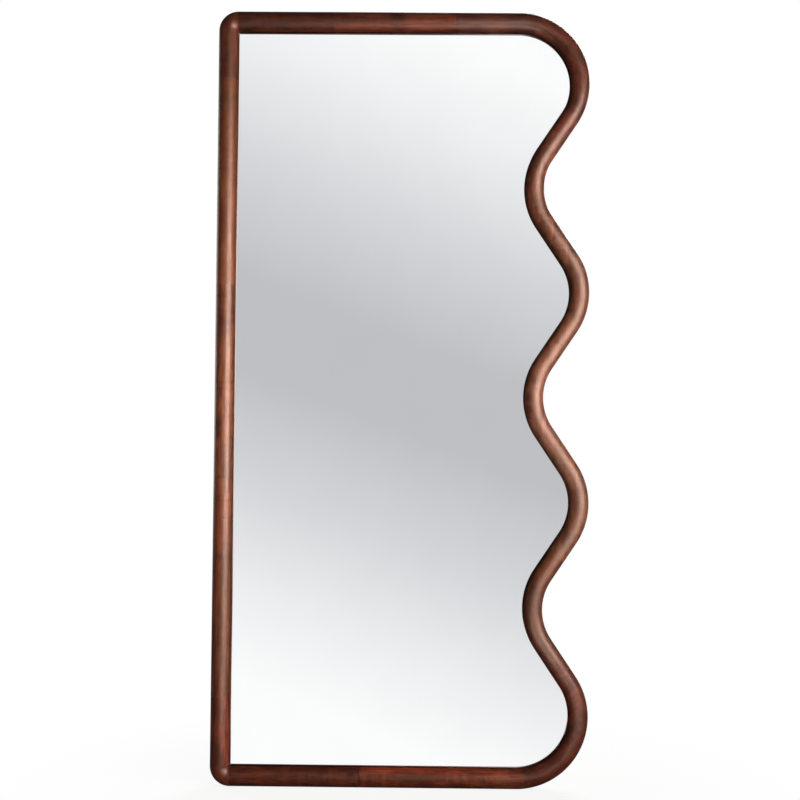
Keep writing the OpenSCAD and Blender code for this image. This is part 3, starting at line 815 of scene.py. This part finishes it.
# Two rubber pads in shallow pockets under the bottom rail carry the mirror on the floor. Their
# lower edges are rounded and their soles have cross grooves.
foot_low, foot_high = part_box("foot_pads")
foot_l = 0.060
groove = 0.0004
sole_strips = 20  # every second one is a groove
sole_edge = 0.0006
foot = begin("foot", bpy.ops.mesh.primitive_cube_add, size=1,
             scale=(foot_l, foot_high.y - foot_low.y, foot_high.z - foot_low.z),
             location=(0, (foot_low.y + foot_high.y) / 2, (foot_low.z + foot_high.z) / 2))
select(foot, "edges", lambda e: abs(e.verts[0].co.x - e.verts[1].co.x) > 0.01)
bpy.ops.mesh.subdivide(number_cuts=sole_strips - 1)
select(foot, "faces", lambda face: face.normal.z < -0.9
       and int((face.calc_center_median().x / foot_l + 0.5) * sole_strips) % 2 == 1)
bpy.ops.mesh.inset(thickness=groove, use_individual=True)
bpy.ops.transform.translate(value=(0, 0, groove))
select(foot, "edges", lambda e: all(v.co.z < foot_low.z + 1e-6 for v in e.verts)
       and any(abs(v.co.x) > foot_l / 2 - 1e-6 or v.co.y < foot_low.y + 1e-6
               or v.co.y > foot_high.y - 1e-6 for v in e.verts)
       and len(e.link_faces) == 2 and e.calc_face_angle() > 1)
bpy.ops.mesh.bevel(offset=sole_edge, segments=3)
bpy.ops.object.mode_set(mode="OBJECT")
bpy.ops.object.shade_smooth_by_angle(angle=radians(35))
foot.data.materials.append(black_rubber)
for number, x in enumerate((foot_low.x + foot_l / 2, foot_high.x - foot_l / 2)):
    fixed = copy_to(foot, f"foot_pad_{number + 1}", (x, 0, 0))
    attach(fixed, "mirror")
    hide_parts("foot_pads")
bpy.data.objects.remove(foot)

# Stage: a small pale floor in a white surround. A soft lamp close by at the front right makes the
# long highlight on the bar, a low one stands for light off the floor, and two more light the left
# side and the back. The mirror shows the studio's grey band between pale floor and ceiling.
bpy.ops.mesh.primitive_plane_add(size=1, location=(0, 0, 0))
floor = bpy.context.object
floor.name = "floor"
floor.scale = (4.4, 4.0, 1)
bpy.ops.object.transform_apply()
white, tree, principled = new_material("floor_white", Roughness=0.9)
path = add(tree, "LightPath").outputs
shade = mix(tree, path["Is Camera Ray"], (0.3, 0.3, 0.3, 1), (0.9, 0.9, 0.9, 1))
tree.links.new(shade, principled.inputs["Base Color"])

# From 0.35 to 0.9 m out the floor fades into the white surround. The mirror doesn't show it.
glow = add(tree, "Emission", {"Color": (1, 1, 1, 1), "Strength": 1.0}).outputs[0]
coords = own_coords(tree)
reach = add(tree, "VectorMath", {0: coords}, operation="LENGTH").outputs["Value"]
fade = level(tree, reach, 0.87, 1.0, 0.35, 0.9)
share = maths(tree, "MULTIPLY", path["Is Camera Ray"], fade)
seen = add(tree, "MixShader", {0: share, 1: principled.outputs[0], 2: glow}).outputs[0]
unseen = add(tree, "BsdfTransparent").outputs[0]
mirrored = maths(tree, "ADD", path["Is Glossy Ray"], path["Is Transmission Ray"])
blend = add(tree, "MixShader", {0: mirrored, 1: seen, 2: unseen}).outputs[0]
tree.links.new(blend, tree.nodes["Material Output"].inputs["Surface"])
floor.data.materials.append(white)

# The lamps light everything but the glass, which would show them as bright panes from the sides
lamp_links = bpy.data.collections.new("lamp_links")
lamp_links.objects.link(glass)
lamp_links.collection_objects[0].light_linking.link_state = "EXCLUDE"


def lamp(name, place, target, width, height, power, colour=(1, 1, 1), spread=180):
    """A soft box at place, turned towards target. It shows in no picture and in no glass."""
    made = bpy.data.lights.new(name, "AREA")
    made.shape = "RECTANGLE"
    made.spread = radians(spread)
    made.size = width
    made.size_y = height
    made.energy = power
    made.color = colour
    holder = bpy.data.objects.new(name, made)
    bpy.context.collection.objects.link(holder)
    holder.location = place
    holder.rotation_euler = (Vector(target) - Vector(place)).to_track_quat("-Z", "Y").to_euler()
    holder.visible_camera = False
    holder.visible_transmission = False
    holder.light_linking.receiver_collection = lamp_links


warm = (1, 0.93, 0.88)
lamp("key_lamp", (0.7, -0.97, 0.99), (-0.39, 0, 0.90), 1.4, 1.25, 17.5, warm, spread=110)
lamp("floor_bounce", (0.5, -0.85, 0.05), (0.5, -0.65, 2), 1.6, 0.7, 13, warm)
lamp("left_lamp", (-2.2, 1.5, 1.3), (-0.3, 0, 0.85), 1.0, 1.6, 15)
lamp("back_lamp", (0.9, 2.2, 2.6), (0, 0, 0.8), 1.6, 1.6, 75)

world = bpy.data.worlds.new("studio")
bpy.context.scene.world = world
world.use_nodes = True
tree = world.node_tree
tree.nodes.clear()
direction = add(tree, "TexCoord").outputs["Generated"]
parts = add(tree, "SeparateXYZ", {0: direction}).outputs

# The band's middle lies a little above the level of the eye and slopes. Its grey fades with the
# height over or under that middle.
lean = level(tree, parts["X"], -0.118, 0.0356, -0.2, 0.2)
height = maths(tree, "ABSOLUTE", maths(tree, "ADD", parts["Z"], lean))
band = ramp(tree, height, (0.034, paint("#c2c2c6")), (0.12, paint("#d8d8db")),
            (0.205, paint("#f2f2f3")), (0.265, paint("#ffffff")))

# Weak light from all around: less of it from the back on matt surfaces, more on glossy ones
aside = add(tree, "VectorMath", {0: direction, 1: (0, -1, 0)}, operation="DISTANCE").outputs["Value"]
fill = level(tree, aside, 0.15, 0.08, 0.6, 1.6)
sheen = level(tree, aside, 0.015, 0.06, 0.8, 1.6)
path = add(tree, "LightPath").outputs
fill = add(tree, "Mix", {0: path["Is Glossy Ray"], 2: fill, 3: sheen}, data_type="FLOAT").outputs[0]

# Only a look straight into the mirror sees the band
sharp = maths(tree, "LESS_THAN", path["Glossy Depth"], 1.5)
direct = maths(tree, "LESS_THAN", path["Diffuse Depth"], 0.5)
in_mirror = maths(tree, "MULTIPLY", maths(tree, "MULTIPLY", path["Is Transmission Ray"], sharp), direct)
studio = add(tree, "Background", {"Color": (1, 1, 1, 1), "Strength": fill}).outputs[0]
wall = add(tree, "Background", {"Color": band, "Strength": 1.0}).outputs[0]
surround = add(tree, "Background", {"Color": (1, 1, 1, 1), "Strength": 1.0}).outputs[0]
reflected = add(tree, "MixShader", {0: in_mirror, 1: studio, 2: wall}).outputs[0]
both = add(tree, "MixShader", {0: path["Is Camera Ray"], 1: reflected, 2: surround}).outputs[0]
add(tree, "OutputWorld", {"Surface": both})

# Camera at the photograph's place: 2.9 m off and 0.75 m up, turned and tipped a little. Its lens is
# given in picture points, of which the photograph is 800 wide.
focal_points = 1324
picture_points = 800
camera = bpy.data.objects.new("camera", bpy.data.cameras.new("camera"))
bpy.context.collection.objects.link(camera)
camera.matrix_world = (Matrix.Translation((0.0267, -2.903, 0.7461)) @ Matrix.Rotation(0.0103, 4, "Z")
                       @ Matrix.Rotation(pi / 2 + 0.0333, 4, "X") @ Matrix.Rotation(0.0083, 4, "Z"))
camera.data.sensor_width = 36
camera.data.lens = camera.data.sensor_width * focal_points / picture_points
bpy.context.scene.camera = camera
bpy.context.scene.view_settings.view_transform = "Standard"
